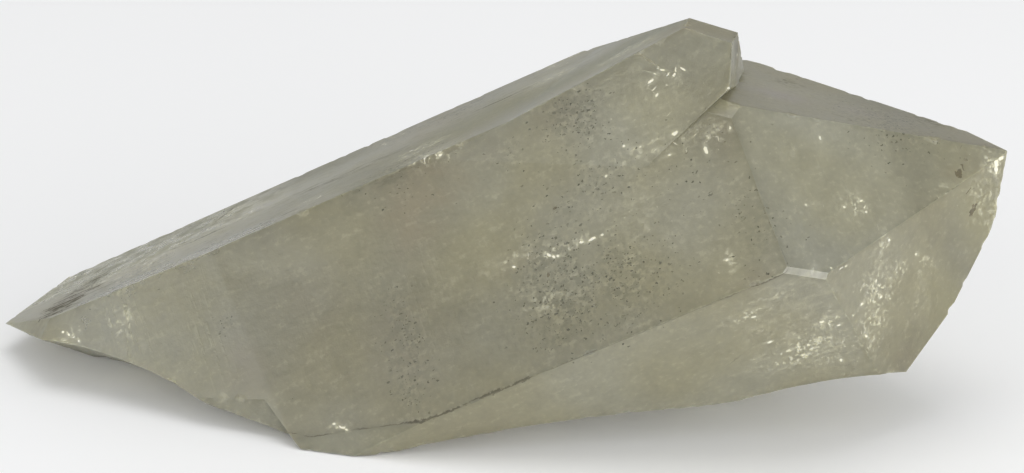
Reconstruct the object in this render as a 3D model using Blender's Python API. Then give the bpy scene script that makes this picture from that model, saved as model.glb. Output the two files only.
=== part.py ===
"""Quartz crystal lying on its broken underside: one prism with a pointed right end, a wedge-shaped
left end, and a parallel overgrowth that stands out over the foot of the right-hand point.

Every crystal face is a plane given in the crystal's own axes:
  turn      degrees round the crystal axis, 0 on the broad front face and counted towards the top,
  lean      degrees that the face tips towards the right-hand point (negative: towards the left end),
  distance  millimetres from the heart of the crystal.
Quartz has its six prism faces 60 degrees apart, and its end faces lean 38.2 degrees.
A broken face is a plane given by heading (0 faces the viewer, 90 faces right), pitch (up from
level) and distance. Points are millimetres from the heart, X right, Y away, Z up.
"""
import math

import bmesh
import bpy
from mathutils import Matrix, Vector

MM = 0.001                       # metres in a millimetre
BLOCK = 400.0                    # side of the cube that the faces are cut from, mm

# --- how the crystal lies -----------------------------------------------------------------------
AXIS_RISE = 25.7                 # the crystal axis climbs this much towards the right
AXIS_SWING = -4.5                # and its right-hand end comes this much towards the viewer
FRONT_ROLL = 35.1                # the front face looks this far up from level
HEART = (9.05, -1.6, 15.2)       # the heart's place over the middle of the footprint, mm

# --- the main crystal: turn, lean, distance ------------------------------------------------------
END_LEAN = 38.2                  # quartz's end faces
CORE_FACES = {
    "front": (0, 0, 19.0),
    "top": (60, 0, 21.3),
    "rear_top": (120, 0, 27.0),
    "rear": (180, 0, 19.0),
    "lower_front": (-60, 0, 24.2),
    "point_front": (0, END_LEAN, 33.2),
    "point_top": (60, END_LEAN, 29.0),
    "point_rear_top": (120, END_LEAN, 33.1),
    "point_rear": (180, END_LEAN, 36.8),
    "point_under": (-120, END_LEAN, 44.1),
    "point_lower_front": (-60, END_LEAN, 39.3),
    "notch_bevel": (24.0, 18.1, 26.75),          # the small triangle under the overgrowth's lip
    "edge_sliver": (-34.0, 21.7, 34.1),          # the bright sliver at the foot of the point
    "rear_shoulder": (105.8, 27.7, 30.2),
    "front_left_slope": (-0.5, -5.0, 22.0),
    "heel_slope": (-13.6, -3.3, 23.4),
    "nose": (29.2, -27.4, 47.3),
    "left_back": (-147.1, -54.9, 47.8),
}
CORE_BREAKS = {
    "right_underside": (26.5, -71.1, 17.7),      # lifts the right end off the surface
    "apex_chip": (72.1, 12.7, 56.3),
    "foot_chip": (111.1, -48.3, 27.4),
}

# --- the overgrowth at the upper right: turn, lean, distance --------------------------------------
OVERGROWTH_FACES = {
    "front": (-2.7, -1.3, 18.5),                 # 0.5 mm proud at the notch, fading leftwards
    "top": (61.7, -4.4, 20.64),
    "end_top": (60, END_LEAN, 35.65),
    "end": (-112.9, 64.0, 21.7),
    "lip": (-110.2, 20.0, -1.24),
    "rear": (100.6, 38.5, 29.74),
    "rear_top": (120, 0, 26.9),                  # this and the next two stay inside the main crystal
    "back": (180, 0, 15.0),
    "under": (-120, 0, -6.0),
    "left_end": (0, -90, 15.0),
}

# --- what is missing under the left end: heading, pitch, distance ----------------------------------
WEDGE_UNDERSIDE = (-42.1, -58.8, 30.8)
HEEL_STEP = (-78.4, -35.5, 37.6)                 # where that face meets the part that stands
WEDGE_BEVEL = (-23.0, 7.2, 27.7)
BEVEL_END = (-75.0, -35.5, 37.9)

# --- shell-shaped hollows in the broken faces: face, the two ends of its rim, depth, reach back ----
HOLLOWS = {
    "left_hollow": (CORE_BREAKS["right_underside"], (-19.4, -22.6, -14.7), (19.9, -19.8, -10.1), 1.0, 20),
    "right_hollow": (CORE_BREAKS["right_underside"], (19.9, -19.8, -10.1), (42.5, -15.4, -7.5), 1.2, 18),
    "wedge_hollow": (WEDGE_UNDERSIDE, (-65.6, -3.2, -7.9), (-44.6, -13.9, -11.6), 1.2, 40),
}
HOLLOW_LIFT = 2.0                # how far outside the face the scooping ball's middle is, in depths
HOLLOW_SIDES = 48

# --- nicks: the edge they are in, how far along it, length, depth ------------------------------------
NICKS = (
    ("upper", 0.06, 2.6, 0.35), ("upper", 0.31, 1.6, 0.25), ("upper", 0.47, 2.2, 0.3),
    ("overgrowth", 0.4, 1.5, 0.25), ("lower", 0.12, 2.8, 0.45), ("lower", 0.33, 2.0, 0.4),
    ("lower", 0.58, 2.4, 0.4), ("lower", 0.93, 2.0, 0.5), ("right", 0.25, 2.2, 0.4),
    ("right", 0.6, 3.0, 0.5), ("ridge", 0.72, 1.8, 0.3),
)
NICK_SPIN = 47.0                 # each nick is turned this much further than the last, degrees
NICK_TILT = (0.3, 0.5, 0.8)      # the line they are turned about
NICK_WIDTH = 4.0                 # across the edge, in nick depths
NICK_LIFT = 0.35                 # how far outside the edge its middle is, in nick depths


def crystal_axes():
    """The crystal axis, the direction that turn 0 faces, and the one that turn 90 faces."""
    rise, swing, roll = (math.radians(angle) for angle in (AXIS_RISE, AXIS_SWING, FRONT_ROLL))
    axis = Vector((math.cos(rise) * math.cos(swing), math.cos(rise) * math.sin(swing), math.sin(rise)))
    level = axis.cross(Vector((0, 0, 1))).normalized()
    front = math.cos(roll) * level + math.sin(roll) * level.cross(axis)
    return axis, front, front.cross(axis)


AXIS, FRONT, SIDE = crystal_axes()


def crystal_plane(turn, lean, distance):
    """Normal and distance of a crystal face."""
    turn, lean = math.radians(turn), math.radians(lean)
    around = math.cos(turn) * FRONT + math.sin(turn) * SIDE
    return math.cos(lean) * around + math.sin(lean) * AXIS, distance


def broken_plane(heading, pitch, distance):
    """Normal and distance of a broken face."""
    heading, pitch = math.radians(heading), math.radians(pitch)
    level = Vector((math.sin(heading), -math.cos(heading), 0))
    return math.cos(pitch) * level + math.sin(pitch) * Vector((0, 0, 1)), distance


def other_side(plane):
    """The same plane with its solid side and its empty side swapped."""
    return -plane[0], -plane[1]


def corner(*planes):
    """The point where three planes meet."""
    return Matrix([plane[0] for plane in planes]).inverted() @ Vector([plane[1] for plane in planes])


def new_object(name, mesh, parent, collection):
    """Turn a bmesh into a named object under the crystal's heart."""
    data = bpy.data.meshes.new(name)
    mesh.to_mesh(data)
    mesh.free()
    thing = bpy.data.objects.new(name, data)
    thing.parent = parent
    collection.objects.link(thing)
    return thing


def cut_block(planes):
    """A closed block with a flat face on every plane, cut from a cube."""
    mesh = bmesh.new()
    bmesh.ops.create_cube(mesh, size=BLOCK * MM)
    for normal, distance in planes:
        cut = bmesh.ops.bisect_plane(
            mesh, geom=mesh.verts[:] + mesh.edges[:] + mesh.faces[:], dist=1e-7,
            plane_co=normal * distance * MM, plane_no=normal, clear_outer=True)
        rim = [part for part in cut["geom_cut"] if isinstance(part, bmesh.types.BMEdge)]
        if rim:
            bmesh.ops.contextual_create(mesh, geom=rim)
    bmesh.ops.recalc_face_normals(mesh, faces=mesh.faces[:])
    return mesh


def hollow_ball(face, start, end, depth, reach):
    """A flattened ball that scoops a shell-shaped hollow between two points of a broken face's rim."""
    outward = broken_plane(*face)[0]
    start, end = Vector(start), Vector(end)
    along = (end - start).normalized()
    back = outward.cross(along).normalized()
    lift = HOLLOW_LIFT * depth
    height = depth + lift
    widen = 1 / math.sqrt(1 - (lift / height) ** 2)
    half_length = (end - start).length / 2 * widen
    mesh = bmesh.new()
    bmesh.ops.create_uvsphere(mesh, u_segments=HOLLOW_SIDES, v_segments=HOLLOW_SIDES // 2, radius=1)
    axes = Matrix((along * half_length, back * reach * widen, outward * height)).transposed() * MM
    centre = ((start + end) / 2 + outward * lift) * MM
    bmesh.ops.transform(mesh, matrix=Matrix.Translation(centre) @ axes.to_4x4(), verts=mesh.verts[:])
    bmesh.ops.recalc_face_normals(mesh, faces=mesh.faces[:])
    return mesh


def nick_stone(place, along, outward, length, depth, spin):
    """A small angular stone that knocks a nick out of an edge."""
    mesh = bmesh.new()
    bmesh.ops.create_icosphere(mesh, subdivisions=1, radius=1)
    bmesh.ops.rotate(mesh, matrix=Matrix.Rotation(spin, 3, NICK_TILT), verts=mesh.verts[:])
    across = outward.cross(along).normalized()
    axes = Matrix((along * length / 2, across * depth * NICK_WIDTH / 2, outward * depth)).transposed() * MM
    matrix = Matrix.Translation(place * MM) @ axes.to_4x4()
    bmesh.ops.transform(mesh, matrix=matrix, verts=mesh.verts[:])
    bmesh.ops.recalc_face_normals(mesh, faces=mesh.faces[:])
    return mesh


def boolean(target, cutter, operation):
    """Join or cut the target with another body, which stays as a wire guide."""
    modifier = target.modifiers.new(cutter.name, "BOOLEAN")
    modifier.operation = operation
    modifier.solver = "EXACT"
    modifier.object = cutter
    cutter.hide_render = True
    cutter.display_type = "WIRE"


def quartz_material():
    """Grey-olive quartz, half clear."""
    material = bpy.data.materials.new("smoky_quartz")
    material.use_nodes = True
    shader = material.node_tree.nodes["Principled BSDF"]
    shader.inputs["Base Color"].default_value = (0.30, 0.29, 0.22, 1)
    shader.inputs["Metallic"].default_value = 0
    shader.inputs["Roughness"].default_value = 0.3
    shader.inputs["IOR"].default_value = 1.544
    return material


def edges(core, overgrowth):
    """The visible edges that carry nicks: two ends and the two faces that meet there."""
    wedge = broken_plane(*WEDGE_UNDERSIDE)
    below = broken_plane(*CORE_BREAKS["right_underside"])
    front, top, lower = core["front"], core["top"], core["lower_front"]
    grown_front, grown_top = overgrowth["front"], overgrowth["top"]
    return {
        "upper": (corner(top, front, core["nose"]), corner(top, front, overgrowth["end_top"]), front, top),
        "overgrowth": (corner(grown_top, grown_front, top),
                       corner(grown_top, grown_front, overgrowth["end_top"]), grown_front, grown_top),
        "lower": (corner(front, lower, below), corner(front, lower, core["point_front"]), front, lower),
        "right": (corner(core["point_lower_front"], core["point_under"], below),
                  corner(core["point_lower_front"], core["point_under"], core["point_front"]),
                  core["point_lower_front"], core["point_under"]),
        "ridge": (corner(top, core["rear_top"], wedge), corner(top, core["rear_top"], core["point_top"]),
                  top, core["rear_top"]),
    }


def main():
    for thing in list(bpy.data.objects):
        bpy.data.objects.remove(thing, do_unlink=True)
    parts = bpy.data.collections.new("quartz_crystal")
    cutters = bpy.data.collections.new("cutters")
    for group in (parts, cutters):
        bpy.context.scene.collection.children.link(group)
    heart = bpy.data.objects.new("heart", None)
    heart.location = Vector(HEART) * MM
    parts.objects.link(heart)

    core = {name: crystal_plane(*face) for name, face in CORE_FACES.items()}
    overgrowth = {name: crystal_plane(*face) for name, face in OVERGROWTH_FACES.items()}
    breaks = [broken_plane(*face) for face in CORE_BREAKS.values()]
    surface = broken_plane(0, -90, HEART[2])
    planes = list(core.values()) + breaks + [surface]
    crystal = new_object("quartz_crystal", cut_block(planes), heart, parts)
    crystal.data.materials.append(quartz_material())

    voids = {
        "wedge_void": (WEDGE_UNDERSIDE, HEEL_STEP),
        "bevel_void": (WEDGE_BEVEL, BEVEL_END),
    }
    for name, faces in voids.items():
        block = cut_block([other_side(broken_plane(*face)) for face in faces])
        boolean(crystal, new_object(name, block, heart, cutters), "DIFFERENCE")
    grown = new_object("overgrowth", cut_block(overgrowth.values()), heart, cutters)
    boolean(crystal, grown, "UNION")
    for name, hollow in HOLLOWS.items():
        boolean(crystal, new_object(name, hollow_ball(*hollow), heart, cutters), "DIFFERENCE")
    lines = edges(core, overgrowth)
    for number, (line, share, length, depth) in enumerate(NICKS):
        start, end, one, other = lines[line]
        outward = (one[0] + other[0]).normalized()
        place = start.lerp(end, share) + outward * depth * NICK_LIFT
        stone = nick_stone(place, (end - start).normalized(), outward, length, depth,
                           math.radians(NICK_SPIN * number))
        nick = new_object(f"nick_{number + 1}", stone, heart, cutters)
        boolean(crystal, nick, "DIFFERENCE")


main()
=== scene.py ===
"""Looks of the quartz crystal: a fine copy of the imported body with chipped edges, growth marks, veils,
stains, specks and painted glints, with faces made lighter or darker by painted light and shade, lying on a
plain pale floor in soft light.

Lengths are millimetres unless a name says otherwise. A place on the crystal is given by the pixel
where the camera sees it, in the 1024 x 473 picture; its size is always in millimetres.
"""
import math

import bmesh
import bpy
import numpy as np
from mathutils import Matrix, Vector, noise
from mathutils.bvhtree import BVHTree
from mathutils.geometry import delaunay_2d_cdt
from mathutils.kdtree import KDTree


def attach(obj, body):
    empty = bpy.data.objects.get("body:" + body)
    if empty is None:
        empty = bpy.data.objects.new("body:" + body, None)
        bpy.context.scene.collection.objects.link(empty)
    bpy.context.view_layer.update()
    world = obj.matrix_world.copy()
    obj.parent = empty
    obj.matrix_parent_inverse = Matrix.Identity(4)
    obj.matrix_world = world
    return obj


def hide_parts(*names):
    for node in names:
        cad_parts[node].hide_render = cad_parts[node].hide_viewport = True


MM = 0.001
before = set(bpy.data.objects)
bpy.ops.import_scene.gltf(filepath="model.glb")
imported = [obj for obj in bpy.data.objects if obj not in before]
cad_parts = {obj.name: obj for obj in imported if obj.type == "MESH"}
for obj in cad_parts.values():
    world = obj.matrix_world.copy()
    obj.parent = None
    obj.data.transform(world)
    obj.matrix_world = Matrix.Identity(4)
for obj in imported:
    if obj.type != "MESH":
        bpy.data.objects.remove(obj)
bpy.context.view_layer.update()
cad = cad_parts["quartz_crystal"]

# --- how the crystal lies (degrees), and the heart that its faces are measured from ------------------
AXIS_RISE, AXIS_SWING, FRONT_ROLL = 25.7, -4.5, 35.1
HEART = np.array((9.05, -1.6, 15.2))

# --- camera ------------------------------------------------------------------------------------------
PICTURE = (1024, 473)
LENS, SENSOR = 100.0, 36.0               # focal length and sensor width
CAMERA_TILT = 70.0                       # degrees up from straight down
CAMERA = Vector((3.09, -334.92, 140.86))
NUDGE = 0.02                             # a pixel beside the crystal moves this share of its way inwards

# --- floor, light and room, in metres; the floor lies just under the crystal's resting face ----------
FLOOR_SIZE, FLOOR_HEIGHT = 6.0, -0.0001
FLOOR_COLOUR, FLOOR_ROUGHNESS = (0.97, 0.97, 0.97, 1), 0.9
ROOM_COLOUR, ROOM_STRENGTH = (0.98, 0.99, 1.0, 1), 0.55
LAMPS = {                                # place, aim, width, height, watts
    "front_lamp": ((0.1, -1.1, 0.22), (0, 0, 0.02), 0.9, 0.9, 3.0),
    "right_lamp": ((0.8, -0.55, 0.2), (0.02, 0, 0.02), 1.5, 0.36, 6.8),
    "left_lamp": ((-0.9, -0.6, 0.3), (-0.02, 0, 0.02), 0.6, 0.6, 2.8),
    "top_lamp": ((0, 0.1, 1.2), (0, 0, 0.02), 0.8, 0.8, 3.5),
}

# --- fine mesh ---------------------------------------------------------------------------------------
STEP = 0.58                              # spacing of its points
BORDER_GAP = 0.55                        # inner points keep this share of a step from a face's border
WELD = 0.01                              # corners closer than this are one
FLAT, SHARP = 0.5, 12.0                  # degrees between faces: below the first they are one face, and
                                         # above the second they meet at a crystal edge
INSIDE_ONLY, JOIN_BELOW = 1, 1e-6        # which triangles are kept, and how close points are joined
WAVES = ((11.0, 0.05), (3.5, 0.02))      # unevenness of a crystal face: wavelength, height
BREAKS = ((6.0, 0.22), (1.8, 0.1))       # and of a broken one
EDGE_REACH = 0.6                         # how far from an edge the chips reach
EDGE_WEAR = 0.015                        # how far every edge is worn back
CHIP_DEPTH, CHIP_SIZE = 0.3, 1.5         # depth of a full chip, and the wavelength of the chips
CHIP_START, CHIP_SPAN = 0.22, 0.5        # noise where chips begin, and how much more makes a full one
CHIP_FROSTED = 0.5                       # share of the chip depth that looks fully frosted
SEAM_REACH = 4.0                         # how far from a seam it is felt
CLOUD_SIZE, STAIN_SIZE = 9.0, 2.6        # wavelengths of the clouds in the colour and of the stains
STAIN_LEAST = 0.5                        # share of a stain that is left where its noise is lowest
WAVE_SEED, BREAK_SEED, CHIP_SEED, CLOUD_SEED, STAIN_SEED = 3, 9, 21, 5, 13
SEED_SHIFT = (1, 0.7, -1)                # where a seed moves its noise

# --- soft steps: the value where each is 0, and the value where it is 1 ------------------------------
SEAM_WEAR = (0.6, 1.8)                   # wear of the edges, by the distance from a seam
SAME_SIDE = (0.3, 0.8)                   # cosine between a patch's face and a point's
CLOUDS, STAIN_FADE = (-0.5, 0.5), (-0.5, 1 / 3)         # of the noise
BAND_SIDE, BAND_END = (0.85, 0.975), (1, 2 / 3)         # cosine to the upper face; share of the band's line

# --- crystal faces: turn round the axis, lean towards the point (degrees), and the face's colour factor ---
# A face's colour factor is painted light and shade: lighter or darker as light falls on the face, with a
# little of its own hue.
FACES = {
    "front": (0, 0, (0.985, 0.97, 0.955)),
    "top": (60, 0, (1.0, 1.0, 0.98)),
    "lower_front": (-60, 0, (1.08, 1.07, 1.09)),
    "rear_top": (120, 0, (1.0, 1.0, 1.0)),
    "rear": (180, 0, (1.0, 1.0, 1.0)),
    "point_front": (0, 38.2, (1.0, 1.01, 1.08)),
    "point_top": (60, 38.2, (0.88, 0.85, 0.8)),
    "point_rear_top": (120, 38.2, (1.0, 1.0, 1.0)),
    "point_rear": (180, 38.2, (1.0, 1.0, 1.0)),
    "point_under": (-120, 38.2, (1.0, 1.0, 1.0)),
    "point_lower_front": (-60, 38.2, (0.98, 0.96, 0.93)),
    "notch_bevel": (24.0, 18.1, (1.22, 1.22, 1.26)),
    # the thin sliver's bright bluish colour factor is a painted reflection of the pale room
    "edge_sliver": (-34.0, 21.7, (1.32, 1.33, 1.48)),
    "rear_shoulder": (105.8, 27.7, (1.0, 1.0, 1.0)),
    "front_left_slope": (-0.5, -5.0, (1.0, 1.0, 1.0)),
    "heel_slope": (-13.6, -3.3, (1.0, 1.0, 1.0)),
    "nose": (29.2, -27.4, (1.16, 1.18, 1.22)),
    "left_back": (-147.1, -54.9, (1.0, 1.0, 1.0)),
    "overgrowth_front": (-2.7, -1.3, (1.03, 1.03, 1.06)),
    "overgrowth_top": (61.7, -4.4, (0.98, 1.0, 1.03)),
    "overgrowth_rear": (100.6, 38.5, (1.0, 1.0, 1.0)),
    "lip": (-110.2, 20.0, (1.0, 1.0, 1.0)),
}
FACE_MATCH = 0.9995                      # how closely a face's direction must agree with the list's
BREAK_TINT = (0.98, 0.99, 1.05)          # of every face that is not in the list

# --- soft patches: picture x, y, half length along the crystal, half width across it, strength -------
PATCHES = {
    "specks": (  # clusters of dark specks
        (575, 118, 3.4, 4.2, 0.75), (560, 285, 4.6, 6.0, 1.0), (620, 280, 5.5, 5.5, 0.65),
        (560, 330, 3.5, 3.0, 0.5), (590, 180, 5.5, 5.0, 0.3), (405, 345, 2.4, 6.5, 0.55),
        (408, 388, 2.2, 3.0, 0.5), (755, 225, 3.2, 5.5, 0.3), (505, 158, 2.4, 1.6, 0.35),
        (560, 215, 3.6, 3.0, 0.3), (690, 180, 7.0, 6.0, 0.1), (225, 325, 1.2, 1.2, 0.4),
    ),
    "stain": (  # brown stains
        (410, 215, 4.2, 5.0, 1.4), (430, 185, 4.4, 4.0, 1.4), (245, 367, 2.6, 4.0, 1.0),
        (240, 345, 2.4, 4.0, 0.5), (400, 350, 5.5, 6.0, 0.5), (300, 300, 6.0, 8.0, 0.35),
        (970, 168, 2.6, 1.6, 0.9), (905, 360, 1.6, 1.8, 0.9), (560, 110, 4.0, 3.5, 0.4),
        (738, 52, 2.0, 3.0, 1.0), (955, 172, 2.0, 1.2, 0.8), (520, 260, 3.0, 1.1, 0.5),
        (758, 280, 2.0, 1.4, 0.8), (720, 132, 2.2, 2.8, 0.6), (460, 165, 9.0, 2.0, 0.5),
    ),
    "veil": (  # cream veils of healed cracks
        (801, 349, 5.0, 2.6, 1.0), (770, 300, 5.0, 1.4, 0.4), (748, 315, 3.4, 1.0, 0.8),
        (878, 290, 2.8, 3.4, 0.85), (874, 322, 2.4, 3.2, 0.7), (838, 360, 3.5, 1.6, 0.5),
        (898, 272, 2.2, 1.6, 0.7), (884, 243, 2.6, 1.2, 0.75), (790, 322, 9.0, 5.0, 0.22),
        (925, 262, 1.6, 2.6, 0.55), (920, 300, 1.8, 2.4, 0.4), (830, 320, 1.8, 1.0, 0.8),
        (727, 262, 1.3, 1.4, 0.7), (575, 242, 2.3, 0.7, 0.6), (551, 253, 2.1, 0.8, 0.7),
        (510, 261, 3.6, 0.9, 0.6), (655, 92, 6.5, 2.6, 0.22), (668, 78, 3.0, 1.6, 0.2),
        (655, 150, 5.5, 1.6, 0.5), (712, 132, 2.2, 1.7, 0.55), (640, 210, 5.0, 3.5, 0.25),
        (122, 322, 2.6, 5.0, 0.55), (945, 190, 7.0, 1.6, 0.3), (820, 130, 2.5, 1.5, 0.35),
        (178, 374, 2.0, 1.0, 0.5), (780, 360, 3.5, 2.0, 0.5), (818, 328, 2.4, 1.6, 0.5),
        (868, 345, 2.2, 2.0, 0.6), (340, 427, 1.6, 0.8, 0.8), (548, 300, 2.4, 1.4, 0.45),
        (445, 156, 1.3, 0.9, 0.6), (985, 205, 2.5, 5.5, 0.5), (70, 338, 2.4, 1.2, 0.8),
        (994, 165, 1.4, 1.8, 1.0), (855, 206, 2.4, 1.5, 0.65), (811, 205, 2.0, 0.8, 0.4),
        (787, 152, 1.8, 0.8, 0.35),
    ),
    "smudge": (  # dark rough smudges
        (74, 301, 4.5, 5.0, 0.8), (785, 82, 3.2, 1.8, 0.4), (930, 122, 2.6, 1.4, 0.6),
        (851, 118, 1.6, 1.2, 0.4), (500, 100, 5.0, 1.6, 0.5), (205, 222, 4.0, 1.6, 0.5),
        (350, 172, 7.0, 1.8, 0.6), (392, 176, 8.0, 1.0, 0.7), (640, 50, 4.0, 1.4, 0.3),
    ),
    "tone_and_shade": (  # lighter, or darker below 0: partly the crystal's own colour, partly painted light and shade, as on the dark end face of the overgrowth
        (150, 262, 17.0, 5.0, 0.42), (540, 88, 16.0, 4.0, 0.03), (665, 80, 8.0, 6.0, 0.08),
        (716, 130, 3.6, 3.2, -0.26), (225, 340, 4.0, 8.0, -0.03), (762, 215, 3.0, 6.0, -0.06),
        (410, 260, 8.0, 12.0, -0.1), (290, 320, 8.0, 10.0, -0.04), (960, 255, 7.0, 7.0, -0.07),
        (850, 330, 9.0, 7.0, 0.03), (780, 80, 6.0, 3.0, -0.04), (990, 190, 4.0, 8.0, 0.05),
        (640, 250, 8.0, 9.0, 0.03), (904, 362, 2.0, 1.8, -0.14), (418, 205, 5.0, 7.0, -0.1),
        (255, 208, 4.0, 1.6, -0.12), (110, 330, 8.0, 6.0, 0.04), (736, 48, 1.6, 2.4, -0.5),
        (722, 106, 2.2, 1.2, 0.12), (245, 412, 5.0, 2.2, 0.12), (262, 382, 4.0, 3.0, -0.07),
        (880, 90, 12.0, 3.0, -0.04),
    ),
    "dull": (  # rougher, or glossier below 0
        (560, 84, 26.0, 6.0, 1.0), (705, 30, 5.0, 4.0, 0.7), (880, 95, 14.0, 5.0, 0.3),
        (330, 165, 8.0, 4.0, 0.5), (738, 52, 2.0, 3.0, 0.8), (165, 270, 16.0, 4.0, -0.3),
    ),
    "haze": (  # pale grey haze
        (235, 335, 3.5, 6.0, 0.5), (300, 250, 7.0, 5.0, 0.15), (118, 325, 3.0, 5.0, 0.6),
        (560, 205, 6.0, 4.0, 0.4), (430, 330, 6.0, 7.0, 0.15), (700, 210, 5.0, 6.0, 0.3),
    ),
    "warm": (  # honey tint
        (980, 212, 3.2, 9.0, 1.0), (948, 300, 2.6, 7.0, 0.8), (470, 250, 7.0, 4.0, 0.3),
    ),
    "scratch": (  # scratches across the crystal
        (126, 325, 2.6, 6.0, 1.0), (205, 335, 2.2, 7.0, 0.4), (420, 300, 3.0, 8.0, 0.15),
        (840, 190, 3.0, 7.0, 0.2),
    ),
    "mauve": (  # mauve tint
        (780, 95, 6.0, 2.4, 1.0), (860, 112, 6.0, 2.0, 0.5), (255, 210, 5.0, 1.8, 0.8),
    ),
}

# --- places whose edges are not chipped or worn, given in the same way -------------------------------
QUIET = ((40, 326, 4.0, 4.0, 1.0), (48, 322, 4.0, 4.0, 1.0))

# --- small sharp marks: picture x, y, length, width, slant in the picture (degrees), strength --------
# A strength above 0 is a painted highlight, below 0 a dark spot. Each reaches as far as DAB_REACH, and FAR
# stands for the distance where no mark reaches.
DAB_REACH, FAR = 3.0, 99
DABS = (
    (440, 155, 0.55, 0.35, 30, 0.9), (651, 81, 0.8, 0.28, 40, 1.0), (657, 95, 0.5, 0.3, 50, 0.8),
    (663, 70, 0.7, 0.22, -10, 0.9), (674, 75, 0.5, 0.22, 60, 0.9), (683, 69, 0.8, 0.2, -35, 0.9),
    (675, 133, 0.85, 0.4, 35, 1.0), (706, 150, 0.4, 0.95, 20, 0.9), (730, 128, 0.3, 0.6, 15, 0.7),
    (728, 88, 0.35, 0.25, 0, 0.8), (736, 55, 0.3, 0.6, 20, 0.9), (624, 146, 0.35, 0.3, 0, 0.9),
    (640, 147, 0.4, 0.25, 45, 0.8), (670, 155, 0.6, 0.22, 15, 0.8), (606, 176, 0.3, 0.3, 0, 0.6),
    (582, 242, 0.55, 0.3, -5, 1.0), (592, 239, 0.7, 0.28, 30, 1.0), (602, 235, 0.4, 0.25, 30, 0.7),
    (549, 255, 0.7, 0.3, -35, 0.9), (558, 256, 0.45, 0.3, 0, 0.9), (514, 267, 0.45, 0.3, 0, 0.8),
    (63, 332, 0.32, 0.26, 10, 1.0), (69, 335, 0.3, 0.24, -25, 0.9), (79, 341, 0.34, 0.28, -35, 0.9),
    (334, 424, 0.36, 0.24, 10, 0.9), (340, 427, 0.3, 0.24, 60, 0.8), (347, 430, 0.5, 0.22, -25, 0.9),
    (996, 168, 0.55, 1.9, 8, 1.0), (1002, 158, 0.9, 0.5, 0, 0.9), (822, 322, 0.55, 0.4, 20, 1.0),
    (839, 325, 0.5, 0.28, 30, 1.0), (754, 317, 0.6, 0.25, 10, 0.9), (803, 355, 0.35, 0.25, 0, 0.9),
    (866, 336, 0.5, 0.3, -30, 0.9), (862, 304, 0.5, 0.4, 30, 1.0), (881, 297, 0.5, 0.28, 20, 0.9),
    (876, 281, 0.25, 0.45, 0, 0.6), (841, 360, 0.35, 0.5, 10, 0.9), (727, 260, 0.45, 0.3, 30, 0.7),
    (916, 254, 0.3, 0.35, 0, 0.7), (846, 266, 0.35, 0.25, 0, 0.7), (831, 268, 0.3, 0.2, 0, 0.6),
    (889, 240, 0.4, 0.35, 0, 0.6), (820, 138, 0.35, 0.5, 0, 0.5), (844, 207, 0.35, 0.25, 0, 0.7),
    (861, 201, 0.5, 0.25, 30, 0.7), (806, 205, 0.4, 0.22, 0, 0.6), (866, 212, 0.3, 0.25, 0, 0.6),
    (770, 342, 0.8, 0.3, 20, 0.8), (771, 98, 0.35, 0.2, 0, 0.5), (959, 173, 0.9, 1.1, -15, -0.8),
    (973, 210, 0.8, 1.7, -25, -1.0), (966, 160, 0.5, 0.4, 0, -0.6), (548, 275, 0.35, 0.75, 0, -0.6),
    (785, 80, 0.4, 0.3, 0, -0.6), (797, 79, 0.3, 0.25, 0, -0.6), (851, 120, 0.35, 0.25, 0, -0.6),
    (928, 119, 1.1, 0.25, -10, -0.7), (950, 138, 0.6, 0.22, 0, -0.6), (643, 56, 1.3, 0.4, -35, -0.5),
    (652, 63, 1.1, 0.35, -35, -0.45), (555, 208, 0.5, 0.25, 25, -0.7),
)

# --- seams: the picture points they run through, half width, how strong their start and end are ------
# A seam also keeps the edges beside it unworn, and with a strength of 0 it does nothing else.
SEAMS = (
    (((286, 441), (310, 437), (345, 431), (385, 426), (400, 424)), 0.09, 0.9, 0.6),
    (((400, 424), (427, 420), (455, 409), (481, 398), (530, 378)), 0.22, 0.95, 0.9),
    (((530, 378), (583, 356), (640, 333), (700, 308)), 0.08, 0.6, 0.5),
    (((700, 308), (728, 297), (749, 288), (764, 283), (783, 274)), 0.12, 0.5, 0.85),
    (((922, 209), (938, 198), (959, 185)), 0.08, 0.5, 0.6),
    (((829, 272), (870, 244), (922, 209)), 0.05, 0.05, 0.3),
    (((959, 185), (985, 168)), 0.05, 0.4, 0.05),
    (((735, 36), (732, 46), (731, 58), (732, 72), (730, 88)), 0.13, 0.6, 0.9),
    (((788, 264), (775, 236), (760, 200), (750, 168), (731, 119)), 0.05, 0.5, 0.1),
    (((818, 359), (842, 353), (862, 350)), 0.08, 0.5, 0.4),
    (((736, 359), (744, 353), (748, 350)), 0.1, 0.5, 0.4),
    (((829, 276), (852, 322), (879, 370)), 0.05, 0.0, 0.0),
    (((704, 112), (690, 124), (676, 135)), 0.14, 0.55, 0.1),
    (((52, 314), (62, 305), (76, 293), (98, 278)), 1.6, 1.0, 0.85),
    (((57, 306), (70, 297), (90, 283)), 1.6, 0.9, 0.75),
    (((62, 309), (74, 300), (92, 288)), 1.2, 1.0, 0.7),
    (((40, 338), (51, 318)), 0.05, 0.3, 0.3),
    (((168, 251), (192, 242), (216, 231)), 0.35, 0.55, 0.6),
    (((222, 217), (232, 209)), 0.5, 0.7, 0.5),
    (((98, 271), (108, 265)), 0.35, 0.6, 0.4),
    (((130, 268), (160, 254), (196, 237)), 0.2, 0.4, 0.3),
    (((486, 107), (500, 101), (510, 96)), 0.35, 0.5, 0.4),
    (((300, 194), (330, 181), (352, 172)), 0.3, 0.35, 0.3),
)

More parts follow.
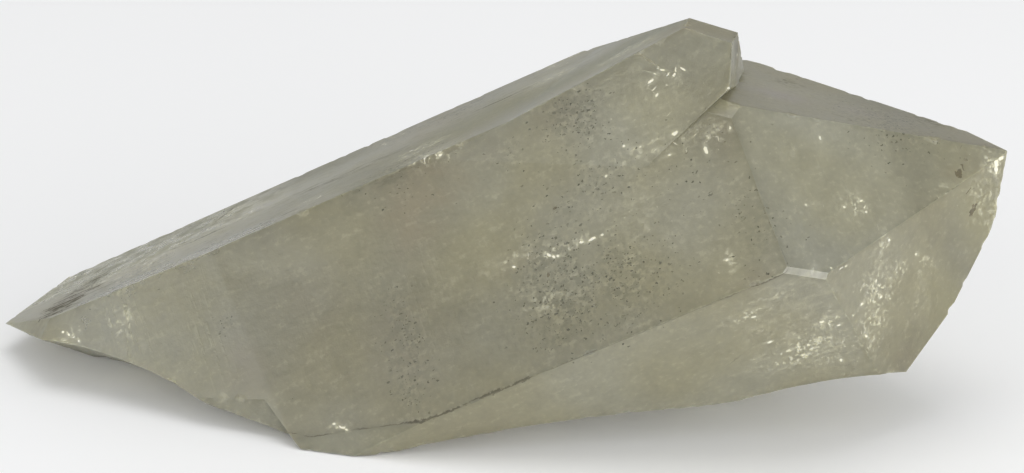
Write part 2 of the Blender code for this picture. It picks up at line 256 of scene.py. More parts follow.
# --- sides that the picture doesn't show: how many patches of each kind, their smallest and largest half
# length, how much longer they are than wide, and their strength; the dabs lie close to the veils -----
UNSEEN = {
    "specks": (13, 2.0, 5.5, 0.9, 0.85),
    "stain": (12, 2.5, 7.0, 0.8, 1.0),
    "veil": (44, 1.8, 6.5, 1.7, 1.0),
    "smudge": (7, 1.5, 4.0, 2.2, 0.6),
    "mauve": (6, 3.0, 6.0, 2.0, 0.5),
    "tone_and_shade": (16, 4.0, 12.0, 1.5, 0.12),
    "warm": (6, 2.0, 7.0, 1.5, 0.5),
    "dull": (6, 3.0, 9.0, 1.3, 0.7),
    "haze": (8, 3.0, 8.0, 1.2, 0.6),
    "scratch": (8, 2.0, 3.0, 0.4, 0.6),
}
UNSEEN_POWER = (0.5, 1)                  # share of the strength that each gets
UNSEEN_DABS, UNSEEN_SPREAD = 5, 1.6      # dabs for each veil, and how far they scatter
UNSEEN_DAB_SIZE, UNSEEN_DAB_WIDTH = (0.25, 0.6), (0.3, 0.8)     # length, and width as a share of it
UNSEEN_BELOW = 0.3                       # faces turned from the camera: cosine of the angle to its view
SEED = 7                                 # of all that is scattered

# --- the line along the upper face that its rough band lies beyond -----------------------------------
BAND = ((22, 312), (54, 298), (100, 281), (163, 253), (202, 233), (249, 217), (330, 182))
BAND_SOFT = 0.35                         # half width of the change


def crystal_axes():
    """Rows: along the crystal, out of the front face, and out of its upper side."""
    rise, swing, roll = (math.radians(angle) for angle in (AXIS_RISE, AXIS_SWING, FRONT_ROLL))
    axis = Vector((math.cos(rise) * math.cos(swing), math.cos(rise) * math.sin(swing), math.sin(rise)))
    level = axis.cross(Vector((0, 0, 1))).normalized()
    front = math.cos(roll) * level + math.sin(roll) * level.cross(axis)
    return np.array([axis, front, front.cross(axis)])


AXES = crystal_axes()


def soft_step(values, low, high):
    """0 at low, 1 at high, which may be the lower of the two, and smooth between them."""
    share = np.clip((values - low) / (high - low), 0, 1)
    return share * share * (3 - 2 * share)


def noise_at(points, wavelength, seed):
    """Blender's own noise, about -1 to 1, at many points; the seed moves it aside."""
    shift = Vector([seed * part for part in SEED_SHIFT])
    return np.array([noise.noise(Vector(point) / wavelength + shift) for point in points])


# --- the fine mesh -----------------------------------------------------------------------------------
def inside(points, outline, margin):
    """Which of the points lie inside a flat outline and at least the margin away from it."""
    within = np.zeros(len(points), bool)
    near = np.full(len(points), np.inf)
    for a, b in zip(outline, np.roll(outline, -1, axis=0)):
        crosses = (a[1] > points[:, 1]) != (b[1] > points[:, 1])
        rise = b[1] - a[1] if b[1] != a[1] else 1.0
        within ^= crosses & (points[:, 0] < a[0] + (points[:, 1] - a[1]) * (b[0] - a[0]) / rise)
        along = b - a
        share = np.clip((points - a) @ along / (along @ along), 0, 1)
        near = np.minimum(near, np.hypot(*(points - a - share[:, None] * along).T))
    return within & (near > margin)


def split_edges(body, points):
    """Cut every edge into even steps: each edge's chain of points, and the points on crystal edges."""
    chains, sharp = {}, set()
    for edge in body.edges:
        first, last = (vertex.index for vertex in edge.verts)
        start, end = points[first], points[last]
        count = max(1, round((end - start).length / STEP))
        chain = [first]
        for number in range(1, count):
            chain.append(len(points))
            points.append(start.lerp(end, number / count))
        chains[edge.index] = chain + [last]
        if edge.calc_face_angle() > math.radians(SHARP):
            sharp.update(chains[edge.index])
    return chains, sharp


def fill_face(face, chains, points):
    """Fill a flat face with even triangles; adds its inner points to the list."""
    ring = []
    for loop in face.loops:
        chain = chains[loop.edge.index]
        ring += chain[:-1] if chain[0] == loop.vert.index else chain[:0:-1]
    right = face.normal.orthogonal().normalized()
    up = face.normal.cross(right)
    flat = np.array([(points[index].dot(right), points[index].dot(up)) for index in ring])
    level = points[ring[0]].dot(face.normal)
    low, high = flat.min(0), flat.max(0)
    columns = np.arange(low[0], high[0], STEP)
    rows = np.arange(low[1], high[1], STEP * math.sin(math.radians(60)))
    grid = np.array([(x + number % 2 * STEP / 2, y) for number, y in enumerate(rows) for x in columns])
    grid = grid[inside(grid, flat, STEP * BORDER_GAP)] if len(grid) else np.zeros((0, 2))
    border = [(number, (number + 1) % len(ring)) for number in range(len(ring))]
    every = [Vector(point) for point in flat] + [Vector(point) for point in grid]
    _, _, made, origin, _, _ = delaunay_2d_cdt(every, border, [], INSIDE_ONLY, JOIN_BELOW)
    ring += range(len(points), len(points) + len(grid))
    points.extend(right * x + up * y + face.normal * level for x, y in grid)
    return [[ring[origin[corner][0]] for corner in triangle] for triangle in made]


def fine_mesh(source):
    """Points, triangles, each triangle's face direction, and which points lie on crystal edges."""
    body = bmesh.new()
    body.from_mesh(source)
    bmesh.ops.remove_doubles(body, verts=body.verts[:], dist=WELD * MM)
    bmesh.ops.dissolve_limit(body, angle_limit=math.radians(FLAT), verts=body.verts[:], edges=body.edges[:])
    body.normal_update()
    points = [vertex.co / MM for vertex in body.verts]
    chains, sharp = split_edges(body, points)
    triangles, normals = [], []
    for face in body.faces:
        made = fill_face(face, chains, points)
        triangles += made
        normals += [face.normal.copy()] * len(made)
    body.free()
    on_edge = np.zeros(len(points), bool)
    on_edge[list(sharp)] = True
    return np.array(points), np.array(triangles), np.array(normals), on_edge


def name_faces(normals):
    """Each triangle's colour factor, which paints light and shade on its face, and 1 where its face is
    broken and not grown.
    """
    names = list(FACES)
    turn, lean = np.radians([FACES[name][:2] for name in names]).T
    known = np.stack([np.sin(lean), np.cos(lean) * np.cos(turn), np.cos(lean) * np.sin(turn)], 1)
    agree = (normals @ AXES.T) @ known.T
    best = agree.argmax(1)
    grown = agree.max(1) > FACE_MATCH
    tints_and_shading = np.where(grown[:, None], np.array([FACES[name][2] for name in names])[best], BREAK_TINT)
    return tints_and_shading, 1.0 - grown


def at_points(triangles, values, count):
    """Mean over the triangles that meet at each point."""
    total = np.zeros(count)
    share = np.zeros(count)
    for column in triangles.T:
        np.add.at(total, column, values)
        np.add.at(share, column, 1)
    return total / share


def point_normals(triangles, normals, count):
    """Mean direction of the faces that meet at each point, of length 1."""
    summed = np.stack([at_points(triangles, normals[:, axis], count) for axis in range(3)], 1)
    return summed / np.linalg.norm(summed, axis=1)[:, None]


def edge_distance(points, on_edge):
    """How far each point is from the nearest crystal edge."""
    tree = KDTree(int(on_edge.sum()))
    for number, point in enumerate(points[on_edge]):
        tree.insert(Vector(point), number)
    tree.balance()
    return np.array([tree.find(Vector(point))[2] for point in points])


def weather(points, normals, broken, off_edge, quiet):
    """Uneven faces, rough breaks and chipped edges; returns the moved points and how chipped each is."""
    move = sum(height * noise_at(points, length, WAVE_SEED) for length, height in WAVES) * (1 - broken)
    move += sum(height * noise_at(points, length, BREAK_SEED) for length, height in BREAKS) * broken
    chips = np.clip(noise_at(points, CHIP_SIZE, CHIP_SEED) - CHIP_START, 0, 1) / CHIP_SPAN * CHIP_DEPTH
    wear = soft_step(off_edge, EDGE_REACH, 0) * (1 - quiet) * (EDGE_WEAR + chips)
    moved = points + normals * (move * soft_step(off_edge, 0, EDGE_REACH) - wear)[:, None]
    moved[:, 2] = np.maximum(moved[:, 2], 0)
    return moved, np.clip(wear / (CHIP_DEPTH * CHIP_FROSTED), 0, 1)


# --- places on the surface ---------------------------------------------------------------------------
def camera_ray(x, y):
    """Direction from the camera through a pixel of the picture."""
    tilt = math.radians(CAMERA_TILT)
    focal = LENS / SENSOR * PICTURE[0]
    right, rise = (x - PICTURE[0] / 2) / focal, (PICTURE[1] / 2 - y) / focal
    ahead = Vector((0, math.sin(tilt), -math.cos(tilt)))
    above = Vector((0, math.cos(tilt), math.sin(tilt)))
    return (ahead + Vector((right, 0, 0)) + above * rise).normalized()


def place(tree, x, y):
    """Where the camera sees the surface at a pixel, and the surface's direction there. A pixel beside the
    crystal moves inwards until it meets it."""
    spot, normal, _, _ = tree.ray_cast(CAMERA, camera_ray(x, y))
    while spot is None:
        x, y = x + (PICTURE[0] / 2 - x) * NUDGE, y + (PICTURE[1] / 2 - y) * NUDGE
        spot, normal, _, _ = tree.ray_cast(CAMERA, camera_ray(x, y))
    return np.array(spot), np.array(normal)


def seen_marks(tree, marks):
    """Marks placed by pixels, as places and face directions on the crystal."""
    return [(*place(tree, x, y), *rest) for x, y, *rest in marks]


def unseen_patches(chance, points, normals):
    """Scattered patches of each kind on the sides that the picture doesn't show."""
    towards = np.array(CAMERA) - points
    towards /= np.linalg.norm(towards, axis=1)[:, None]
    turned = np.flatnonzero(np.einsum("ij,ij->i", towards, normals) < UNSEEN_BELOW)
    patches = {}
    for name, (count, smallest, largest, stretch, strength) in UNSEEN.items():
        patches[name] = []
        for index in chance.choice(turned, count):
            length = chance.uniform(smallest, largest)
            power = strength * chance.uniform(*UNSEEN_POWER)
            if name == "tone_and_shade":
                power *= chance.choice((-1, 1))
            patches[name].append((points[index], normals[index], length, length / stretch, power))
    return patches


def unseen_dabs(chance, veils, tree):
    """Painted highlights close to the scattered veils."""
    dabs = []
    for spot, *_ in veils:
        for _ in range(UNSEEN_DABS):
            near = tree.find_nearest(Vector(spot + chance.normal(0, UNSEEN_SPREAD, 3)))
            length = chance.uniform(*UNSEEN_DAB_SIZE)
            width = length * chance.uniform(*UNSEEN_DAB_WIDTH)
            slant = chance.uniform(-90, 90)
            power = chance.uniform(*UNSEEN_POWER)
            dabs.append((np.array(near[0]), np.array(near[1]), length, width, slant, power))
    return dabs


def patch_masks(points, normals, patches):
    """Soft patches, each stretched along the crystal; one row for each patch."""
    masks = []
    for spot, facing, length, width, strength in patches:
        offset = points - spot
        along = offset @ AXES[0]
        across = np.linalg.norm(offset - along[:, None] * AXES[0], axis=1)
        reach = (along / length) ** 2 + (across / width) ** 2
        masks.append(strength * np.exp(-reach) * soft_step(normals @ facing, *SAME_SIDE))
    return np.array(masks)


def dab_marks(points, dabs):
    """For the nearest small mark: where each point is, in the mark's half lengths and half widths, and the
    mark's strength."""
    marks = np.zeros((len(points), 3))
    marks[:, :2] = FAR
    near = np.full(len(points), DAB_REACH)
    for spot, facing, length, width, slant, strength in dabs:
        turn = math.radians(slant)
        across = np.cross(facing, (math.cos(turn), 0, math.sin(turn)))
        across /= np.linalg.norm(across)
        along = np.cross(across, facing)
        offset = points - spot
        distance = np.linalg.norm(offset, axis=1)
        closer = distance < near
        near = np.where(closer, distance, near)
        own = np.stack([offset @ along / (length / 2), offset @ across / (width / 2),
                        np.full(len(points), strength)], 1)
        marks = np.where(closer[:, None], own, marks)
    return marks


def along_line(tree, points, normals, pixels):
    """Signed distance to a line through picture points, and the share of the line passed there."""
    line = [place(tree, x, y)[0] for x, y in pixels]
    nearest = np.full(len(points), np.inf)
    found = np.zeros((2, len(points)))
    for number, (a, b) in enumerate(zip(line, line[1:])):
        along = b - a
        share = np.clip((points - a) @ along / (along @ along), 0, 1)
        offset = points - a - share[:, None] * along
        distance = np.linalg.norm(offset, axis=1)
        side = np.sign(np.einsum("ij,ij->i", offset, np.cross(normals, along)))
        closer = distance < nearest
        nearest = np.where(closer, distance, nearest)
        found = np.where(closer, (side * distance, (number + share) / (len(line) - 1)), found)
    return found


def seam_marks(tree, points, normals):
    """For the nearest seam: the signed distance in its half widths, its strength, and the distance."""
    nearest = np.full(len(points), SEAM_REACH)
    marks = np.zeros((len(points), 3))
    marks[:, (0, 2)] = FAR
    for pixels, half_width, first, last in SEAMS:
        distance, part = along_line(tree, points, normals, pixels)
        own = np.stack([distance / half_width, first + (last - first) * part, abs(distance)], 1)
        closer = abs(distance) < nearest
        nearest = np.where(closer, abs(distance), nearest)
        marks = np.where(closer[:, None], own, marks)
    return marks


def band_mask(tree, points, normals):
    """1 on the rough band of the upper face, fading to its right end."""
    distance, part = along_line(tree, points, normals, BAND)
    turn = math.radians(FACES["top"][0])
    upper = AXES[1] * math.cos(turn) + AXES[2] * math.sin(turn)
    return (soft_step(distance, -BAND_SOFT, BAND_SOFT) * soft_step(normals @ upper, *BAND_SIDE)
            * soft_step(part, *BAND_END))


def store(mesh, name, values, domain="POINT"):
    """Keep numbers on the mesh for the material to read."""
    kind, field = ("FLOAT_VECTOR", "vector") if values.ndim == 2 else ("FLOAT", "value")
    mesh.attributes.new(name, kind, domain).data.foreach_set(field, values.astype(np.float32).ravel())


def keep_marks(mesh, tree, points, normals):
    """Work out the clouds, the band, the patches and the dabs, and keep them on the mesh."""
    chance = np.random.default_rng(SEED)
    unseen = unseen_patches(chance, points, normals)
    dabs = seen_marks(tree, DABS) + unseen_dabs(chance, unseen["veil"], tree)
    store(mesh, "dab", dab_marks(points, dabs))
    store(mesh, "cloud", soft_step(noise_at(points, CLOUD_SIZE, CLOUD_SEED), *CLOUDS))
    store(mesh, "band", band_mask(tree, points, normals))
    for name, patches in PATCHES.items():
        masks = patch_masks(points, normals, seen_marks(tree, patches) + unseen[name])
        mask = masks.sum(0) if name in ("tone_and_shade", "dull") else masks.max(0)
        if name == "stain":
            fade = soft_step(noise_at(points, STAIN_SIZE, STAIN_SEED), *STAIN_FADE)
            mask *= STAIN_LEAST + (1 - STAIN_LEAST) * fade
        store(mesh, name, mask)


def make_crystal():
    """The dressed crystal, with all that its material reads kept on its mesh."""
    points, triangles, face_normals, on_edge = fine_mesh(cad.data)
    tints_and_shading, broken_faces = name_faces(face_normals)
    normals = point_normals(triangles, face_normals, len(points))
    broken = at_points(triangles, broken_faces, len(points))
    off_edge = edge_distance(points, on_edge)
    tree = BVHTree.FromPolygons(points.tolist(), triangles.tolist())
    seams = seam_marks(tree, points, normals)
    quiet = np.maximum(1 - soft_step(seams[:, 2], *SEAM_WEAR),
                       patch_masks(points, normals, seen_marks(tree, QUIET)).max(0))
    moved, chipped = weather(points, normals, broken, off_edge, quiet)
    mesh = bpy.data.meshes.new("crystal")
    mesh.from_pydata((moved * MM).tolist(), [], triangles.tolist())
    mesh.shade_smooth()
    mesh.set_sharp_from_angle(angle=math.radians(SHARP))
    store(mesh, "crystal", (points - HEART) @ AXES.T)
    store(mesh, "tint_and_shading", tints_and_shading, "FACE")
    store(mesh, "broken", broken_faces, "FACE")
    store(mesh, "chipped", chipped)
    store(mesh, "off_edge", off_edge)
    store(mesh, "seam", seams)
    keep_marks(mesh, tree, points, normals)
    crystal = bpy.data.objects.new("crystal", mesh)
    bpy.context.scene.collection.objects.link(crystal)
    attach(crystal, "root")
    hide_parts("quartz_crystal")
    return crystal


# --- material: colours -------------------------------------------------------------------------------
OLIVE, GREY = (0.39, 0.37, 0.245), (0.40, 0.39, 0.29)
BROWN, CREAM = (0.335, 0.295, 0.2), (0.66, 0.64, 0.48)
MAUVE, SPECK, SEAM = (0.36, 0.32, 0.31), (0.085, 0.085, 0.055), (0.10, 0.09, 0.06)
# the first of these colours paints the highlights of glints and sparkles
PAINTED_GLINT, FROST, RUST = (0.9, 0.87, 0.72), (0.55, 0.54, 0.44), (0.085, 0.068, 0.032)
HONEY, HAZE = (0.41, 0.38, 0.215), (0.36, 0.36, 0.315)
BAND_TINT = (1.0, 1.02, 0.95)            # of the rough band
# how much of its colour each patch gives
PAINTS = {"stain": (0.8, BROWN), "mauve": (0.6, MAUVE), "warm": (0.75, HONEY), "haze": (0.6, HAZE)}

# --- material: noises in the crystal's own axes: squeeze along it, out of it and up it; scale, detail and
# roughness -------------------------------------------------------------------------------------------
NOISES = {
    "grit": ((1.0, 1.0, 1.0), 1.7, 4, 0.62),
    "mottle": ((1.0, 1.0, 1.0), 0.42, 4, 0.58),
    "streaks": ((0.25, 1.0, 1.0), 1.3, 4, 0.62),
    "crossways": ((2.2, 0.12, 0.12), 1.0, 2, 0.55),
}

# --- material: soft steps, with the value where each is 0 and the value where it is 1 ----------------
STEPS = {
    "near_edge": (0.9, 0.0),
    "band_pale": (0.16, 0.28), "band_dark": (0.38, 0.3), "band_rough": (0.54, 0.42),
    "fleck": (0.52, 0.61), "milk_streak": (0.52, 0.68), "faint": (0.29, 0.4), "painted_sparkle": (0.6, 0.72),
    "scratch": (0.5, 0.66), "scratch_part": (0.4, 0.56),
    "cluster": (0.34, 0.54), "blotch": (0.56, 0.44), "grain_rim": (-0.03, 0.05), "grain_there": (0.0, 0.02),
    "smudge": (0.47, 0.6), "seam": (0.5, -0.3), "seam_part": (0.44, 0.54),
    "frost": (0.4, 0.65), "rough_streak": (0.5, 0.62),
    "dab": (1.3, 0.7), "painted_halo": (9.0, 0.0), "painted_halo_power": (0.0, 1.0),
    "painted_glint": (0.0, 0.9), "spot": (0.0, -0.9),
}

# --- material: how much each pattern counts ----------------------------------------------------------
BODY_SHADE, EDGE_SHADE = 0.93, -0.12     # brightness of the body colour, and the painted shade that darkens it along the edges
SHADES = {"mottle": 0.42, "grit": 0.28, "streaks": 0.2, "crossways": 0.03}       # and each noise
BAND_PALE, BAND_DARK = 0.5, 0.3          # pale and dark marks in the rough band
MILK, MILK_STREAK, VEIL = 0.8, 0.6, 0.2  # a veil's flecks, its streaks beside them, and its even part
FAINT, SCRATCH = 0.22, 0.75              # the flecks that are everywhere, and the scratches
CELL_SCALE, CELL_WARP = 2.7, 1.3         # cells that hold one dark speck or one painted highlight each
SPECK_GAIN = 1.7                         # how fast the clusters fill
SPECK_SHARE, SPECK_STRAY = 0.9, 0.003    # share of the cells with a speck, in a full cluster and outside
SPECK_SIZE, SPECK_DARK = (0.1, 0.46), (0.35, 0.6)       # smallest and largest; least, and what chance adds
BLOTCH = 0.36                            # soft dark blotches between the specks
PAINTED_SPARKLE, SPARKLE_SHARE = 0.36, 0.6       # a veil's sparkles, painted highlights, and the share of its cells with one
SPARKLE_SIZE = (0.1, 0.44)               # smallest and largest
SMUDGE, SEAM_DARK = 0.7, 0.9             # smudges and seams
SEAM_WOBBLE, SEAM_WIDTH = 5.0, (-0.45, 2.4)             # in half widths: least, and what the mottle adds
SEAM_PART = (0.2, 0.8)                   # strength in a seam's gaps, and what its other parts add
FROSTY, PAINTED_HALO, PAINTED_GLINT_SHARE, SPOTS = 0.15, 0.3, 0.7, 0.88      # chips, painted glow round the glints, painted highlights of the glints, dark spots
DAB_WOBBLE = 5.0                         # how ragged the glints and spots are
ROUGHNESS = 0.24                         # the least that the quartz has, before what each pattern adds
ROUGHER = {
    "mottle": 0.14, "milk": 0.2, "broken": 0.12, "chipped": 0.2, "line": 0.45, "smudge": 0.4, "dull": 0.3,
}
ROUGH_STREAK, ROUGH_BAND = 0.08, (-0.05, 0.16)          # streaks; band: least, and what its mottle adds
RELIEF = {"crossways": 0.007, "scratch": 0.06, "grit": 0.02}            # millimetres
# the mottle's relief, and what broken faces and the band add to it, in millimetres
MOTTLE_RELIEF, BROKEN_RELIEF, BAND_RELIEF = 0.05, 0.4, -0.04
CLEAR, IOR = 0.5, 1.544                  # how clear the clearest quartz is, and how quartz bends light
CLOUDY_REACH, CLOUDY_METRES = (1.0, 0.95, 0.75), 0.0015  # how far light spreads in the cloudy body
MIX_FIRST, MIX_SECOND, MIX_RESULT = 6, 7, 2              # places of a mix node's colour sockets


class Pattern:
    """Builds a material's nodes, so that a pattern reads as a few lines of sums."""

    def __init__(self, material):
        self.tree = material.node_tree

    def node(self, kind, *values):
        """A new node with values fed to its first sockets."""
        node = self.tree.nodes.new(kind)
        for socket, value in zip(node.inputs, values):
            self.feed(socket, value)
        return node

    def feed(self, socket, value):
        """Give a socket a value, a colour or another node's output."""
        if isinstance(value, bpy.types.NodeSocket):
            self.tree.links.new(value, socket)
        elif isinstance(value, tuple) and socket.type == "RGBA":
            socket.default_value = (*value, 1)
        else:
            socket.default_value = value

    def math(self, operation, first, second=0.0, clamp=False):
        """One sum of two values; clamp keeps it between 0 and 1."""
        node = self.node("ShaderNodeMath", first, second)
        node.operation = operation
        node.use_clamp = clamp
        return node.outputs[0]

    def chain(self, operation, values):
        """The same operation over any number of values."""
        first, *others = values
        for other in others:
            first = self.math(operation, first, other)
        return first

    def times(self, *values):
        return self.chain("MULTIPLY", values)

    def plus(self, *values):
        return self.chain("ADD", values)

    def highest(self, *values):
        return self.chain("MAXIMUM", values)

    def less(self, first, second, clamp=False):
        return self.math("SUBTRACT", first, second, clamp)

    def scaled(self, value, start, gain):
        """The start where the value is 0, and the gain more where it is 1."""
        return self.plus(self.times(value, gain), start)

    def centred(self, pattern):
        """A pattern of 0 to 1, moved to lie evenly round 0."""
        return self.plus(pattern, -0.5)

    def step(self, value, name):
        """The named soft step of a value."""
        node = self.node("ShaderNodeMapRange")
        node.interpolation_type = "SMOOTHSTEP"
        self.feed(node.inputs["Value"], value)
        node.inputs["From Min"].default_value, node.inputs["From Max"].default_value = STEPS[name]
        return node.outputs[0]

    def mix(self, share, first, second, blend="MIX"):
        """Two colours mixed; the share is how much the second counts."""
        node = self.tree.nodes.new("ShaderNodeMix")
        node.data_type = "RGBA"
        node.blend_type = blend
        self.feed(node.inputs[0], share)
        self.feed(node.inputs[MIX_FIRST], first)
        self.feed(node.inputs[MIX_SECOND], second)
        return node.outputs[MIX_RESULT]

    def kept(self, name, output):
        """What the mesh keeps under a name, as a Fac (one number), a Vector or a Color."""
        node = self.tree.nodes.new("ShaderNodeAttribute")
        node.attribute_name = name
        return node.outputs[output]

    def number(self, name):
        """A number that the mesh keeps."""
        return self.kept(name, "Fac")

    def split(self, vector):
        return self.node("ShaderNodeSeparateXYZ", vector).outputs

    def join(self, *values):
        return self.node("ShaderNodeCombineXYZ", *values).outputs[0]

    def noise(self, vector, squeeze, scale, detail, rough):
        """A soft noise of 0 to 1, drawn out in the directions that it is squeezed least."""
        squeezed = self.node("ShaderNodeMapping", vector)
        squeezed.inputs["Scale"].default_value = squeeze
        node = self.tree.nodes.new("ShaderNodeTexNoise")
        self.feed(node.inputs["Vector"], squeezed.outputs[0])
        node.inputs["Scale"].default_value = scale
        node.inputs["Detail"].default_value = detail
        node.inputs["Roughness"].default_value = rough
        return node.outputs["Fac"]

    def cells(self, vector, scale):
        """Scattered cells: the distance to each cell's middle, and three chance numbers of its own."""
        node = self.tree.nodes.new("ShaderNodeTexVoronoi")
        self.feed(node.inputs["Vector"], vector)
        node.inputs["Scale"].default_value = scale
        return node.outputs["Distance"], *self.split(node.outputs["Color"])

    def grains(self, distance, chance, present, girth, smallest, largest):
        """1 inside a grain: present is the share of the cells that hold one, and girth sets its size."""
        size = self.scaled(girth, smallest, largest - smallest)
        return self.times(self.step(self.less(size, distance), "grain_rim"),
                          self.step(self.less(present, chance), "grain_there"))


class Quartz(Pattern):
    """The crystal's layers. Each paints over the ones before it, and keeps what the surface needs."""

    def __init__(self, material):
        super().__init__(material)
        self.own = self.kept("crystal", "Vector")
        for name, settings in NOISES.items():
            setattr(self, name, self.noise(self.own, *settings))
        for name in ("band", "veil", "broken", "chipped", "dull"):
            setattr(self, name, self.number(name))
        self.colour = self.mix(self.number("cloud"), OLIVE, GREY)

    def paint(self, share, colour, blend="MIX"):
        """Lay a colour over what is painted so far."""
        self.colour = self.mix(share, self.colour, colour, blend)

    def weighted(self, weights):
        """The patterns named in a table, each times its weight."""
        return [self.times(getattr(self, name), weight) for name, weight in weights.items()]

    def body(self):
        """Face colour factors that paint light and shade, mottled, with faint streaks along and across the
        crystal, and painted shade along the edges.
        """
        # painted shade: the colour is darkened along every crystal edge
        edges = self.times(self.step(self.number("off_edge"), "near_edge"), EDGE_SHADE)
        plain = BODY_SHADE - sum(SHADES.values()) / 2
        # the lighter and darker patches are partly painted light and shade
        shade = self.plus(plain, self.number("tone_and_shade"), *self.weighted(SHADES), edges)
        # painted light and shade: each face's colour factor makes it lighter or darker as light falls on it
        self.paint(1.0, self.kept("tint_and_shading", "Color"), "MULTIPLY")
        self.paint(1.0, self.join(shade, shade, shade), "MULTIPLY")

    def rough_band(self):
        """The greenish band on the upper face, with pale and dark marks."""
        pale = self.step(self.times(self.mottle, self.streaks), "band_pale")
        self.paint(self.band, BAND_TINT, "MULTIPLY")
        self.paint(self.times(self.band, pale, BAND_PALE), CREAM)
        self.paint(self.times(self.band, self.step(self.streaks, "band_dark"), BAND_DARK), SEAM)

    def patches(self):
        """Stains and patches of other tones."""
        for name, (share, colour) in PAINTS.items():
            self.paint(self.times(self.number(name), share), colour)

    def veils(self):
        """Cream streaks and flecks of healed cracks, scratches, and faint flecks everywhere."""
        streaks = self.times(self.step(self.streaks, "milk_streak"), MILK_STREAK)
        faint = self.times(self.step(self.times(self.grit, self.streaks), "faint"), FAINT)
        self.milk = self.times(self.veil, self.highest(self.step(self.grit, "fleck"), streaks))
        self.scratch = self.times(self.number("scratch"), self.step(self.crossways, "scratch"),
                                  self.step(self.grit, "scratch_part"), SCRATCH)
        self.paint(self.highest(self.times(self.milk, MILK), faint, self.scratch), CREAM)
        self.paint(self.times(self.veil, VEIL), CREAM)

    def specks(self):
        """Dark specks with soft blotches between them, and the sparkles in the veils, which are painted
        highlights.
        """
        specks = self.math("MULTIPLY", self.times(self.number("specks"), SPECK_GAIN),
                           self.step(self.mottle, "cluster"), clamp=True)
        noises = (self.grit, self.streaks, self.mottle)
        warp = self.join(*(self.times(value, CELL_WARP) for value in noises))
        warped = self.node("ShaderNodeVectorMath", self.own, warp).outputs[0]
        distance, one, two, three = self.cells(warped, CELL_SCALE)
        present = self.scaled(specks, SPECK_STRAY, SPECK_SHARE)
        self.dark = self.times(self.grains(distance, one, present, two, *SPECK_SIZE),
                               self.scaled(three, *SPECK_DARK))
        # painted highlights: the sparkles in the veils
        self.painted_sparkle = self.highest(
            self.grains(distance, two, self.times(self.milk, SPARKLE_SHARE), one, *SPARKLE_SIZE),
            self.times(self.veil, self.step(self.grit, "painted_sparkle")))
        self.paint(self.times(specks, self.step(self.grit, "blotch"), BLOTCH), SPECK)
        self.paint(self.dark, SPECK)

    def seams(self):
        """Dark smudges that follow the crystal, and the broken dark seams."""
        self.smudge = self.times(self.number("smudge"), self.step(self.streaks, "smudge"))
        self.paint(self.times(self.smudge, SMUDGE), SEAM)
        across, power, _ = self.split(self.kept("seam", "Vector"))
        wobble = self.times(self.centred(self.grit), SEAM_WOBBLE)
        off_seam = self.less(self.math("ABSOLUTE", self.plus(across, wobble)),
                             self.scaled(self.mottle, *SEAM_WIDTH))
        self.line = self.times(self.step(off_seam, "seam"), power,
                               self.scaled(self.step(self.streaks, "seam_part"), *SEAM_PART))
        self.paint(self.times(self.line, SEAM_DARK), SEAM)

    def chips_and_dabs(self):
        """Frosty chips along the edges, glints painted as highlights with a painted glow round them, and
        single spots.
        """
        along, across, power = self.split(self.kept("dab", "Vector"))
        reach = self.plus(self.times(along, along), self.times(across, across))
        self.dabbed = self.step(self.plus(reach, self.times(self.centred(self.grit), DAB_WOBBLE)), "dab")
        painted_glint = self.times(self.dabbed, self.step(power, "painted_glint"), PAINTED_GLINT_SHARE)
        self.paint(self.times(self.chipped, self.step(self.grit, "frost"), FROSTY), FROST)
        # painted light: a pale glow round each glint, and the glints and sparkles painted as highlights
        self.paint(self.times(self.step(reach, "painted_halo"), self.step(power, "painted_halo_power"), PAINTED_HALO), CREAM)
        self.paint(self.highest(self.times(self.painted_sparkle, PAINTED_SPARKLE), painted_glint), PAINTED_GLINT)
        self.paint(self.times(self.dabbed, self.step(power, "spot"), SPOTS), RUST)

    def surface(self, shader):
        """Colour, roughness, relief and clearness. The clouds inside come from subsurface light."""
        self.feed(shader.inputs["Base Color"], self.colour)
        band_rough = self.scaled(self.step(self.mottle, "band_rough"), *ROUGH_BAND)
        rough = self.plus(ROUGHNESS, *self.weighted(ROUGHER), self.times(self.band, band_rough),
                          self.times(self.step(self.streaks, "rough_streak"), ROUGH_STREAK))
        self.feed(shader.inputs["Roughness"], rough)
        uneven = self.plus(MOTTLE_RELIEF, self.times(self.broken, BROKEN_RELIEF),
                           self.times(self.band, BAND_RELIEF))
        bump = self.tree.nodes.new("ShaderNodeBump")
        bump.inputs["Strength"].default_value = 1.0
        bump.inputs["Distance"].default_value = MM
        self.feed(bump.inputs["Height"], self.plus(self.times(self.mottle, uneven), *self.weighted(RELIEF)))
        self.feed(shader.inputs["Normal"], bump.outputs[0])
        hidden = self.highest(self.milk, self.dark, self.dabbed, self.chipped)
        clear = self.times(self.less(1.0, hidden, clamp=True), CLEAR)
        self.feed(shader.inputs["Transmission Weight"], clear)
        shader.inputs["IOR"].default_value = IOR
        shader.inputs["Subsurface Weight"].default_value = 1.0
        shader.inputs["Subsurface Radius"].default_value = CLOUDY_REACH
        shader.inputs["Subsurface Scale"].default_value = CLOUDY_METRES


def quartz_material():
    """The crystal's material, layer by layer."""
    material = bpy.data.materials.new("quartz")
    material.use_nodes = True
    quartz = Quartz(material)
    quartz.body()
    quartz.rough_band()
    quartz.patches()
    quartz.veils()
    quartz.specks()
    quartz.seams()
    quartz.chips_and_dabs()
    quartz.surface(material.node_tree.nodes["Principled BSDF"])
    return material


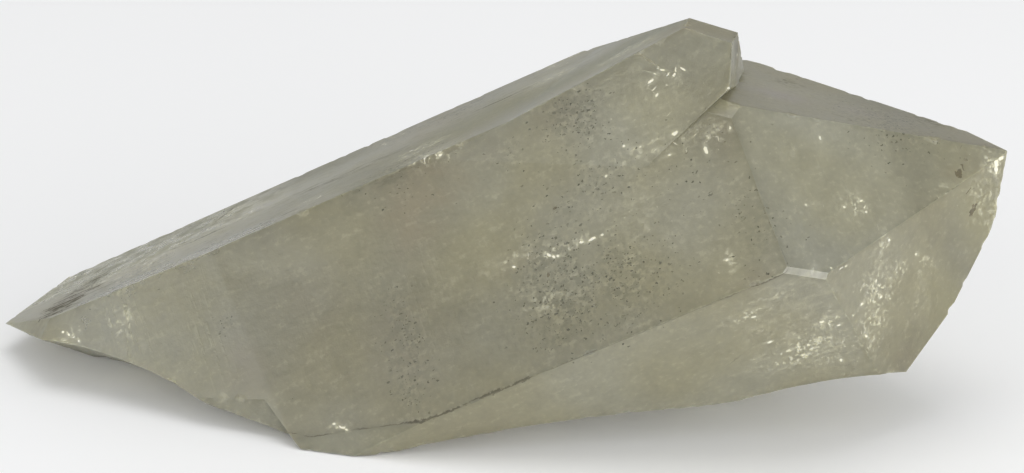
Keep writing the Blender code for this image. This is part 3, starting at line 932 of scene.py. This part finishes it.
# --- floor, light and camera -------------------------------------------------------------------------
def soft_lamp(name, location, aim, width, height, watts):
    """A rectangular lamp, placed, aimed and sized in metres."""
    data = bpy.data.lights.new(name, "AREA")
    data.shape = "RECTANGLE"
    data.size, data.size_y = width, height
    data.energy = watts
    lamp = bpy.data.objects.new(name, data)
    lamp.location = location
    lamp.rotation_euler = (Vector(aim) - Vector(location)).to_track_quat("-Z", "Y").to_euler()
    bpy.context.scene.collection.objects.link(lamp)


def soft_room():
    """Even light from all round."""
    world = bpy.data.worlds.new("soft_room")
    world.use_nodes = True
    room = world.node_tree.nodes["Background"]
    room.inputs["Color"].default_value = ROOM_COLOUR
    room.inputs["Strength"].default_value = ROOM_STRENGTH
    return world


def pale_floor():
    """A wide matt floor that only the picture shows."""
    data = bpy.data.meshes.new("floor")
    half = FLOOR_SIZE / 2
    corners = ((-half, -half), (half, -half), (half, half), (-half, half))
    data.from_pydata([(x, y, FLOOR_HEIGHT) for x, y in corners], [], [(0, 1, 2, 3)])
    floor = bpy.data.objects.new("floor", data)
    bpy.context.scene.collection.objects.link(floor)
    paint = bpy.data.materials.new("floor")
    paint.use_nodes = True
    surface = paint.node_tree.nodes["Principled BSDF"]
    surface.inputs["Base Color"].default_value = FLOOR_COLOUR
    surface.inputs["Roughness"].default_value = FLOOR_ROUGHNESS
    data.materials.append(paint)


def picture_camera():
    """The camera that sees the crystal as the photo does."""
    data = bpy.data.cameras.new("camera")
    data.lens = LENS
    data.sensor_width = SENSOR
    camera = bpy.data.objects.new("camera", data)
    camera.location = CAMERA * MM
    camera.rotation_euler = (math.radians(CAMERA_TILT), 0, 0)
    bpy.context.scene.collection.objects.link(camera)
    return camera


def stage():
    """All that is round the crystal in the picture."""
    scene = bpy.context.scene
    scene.view_settings.view_transform = "Standard"
    scene.world = soft_room()
    pale_floor()
    for name, settings in LAMPS.items():
        soft_lamp(name, *settings)
    scene.camera = picture_camera()


crystal = make_crystal()
crystal.data.materials.append(quartz_material())
stage()
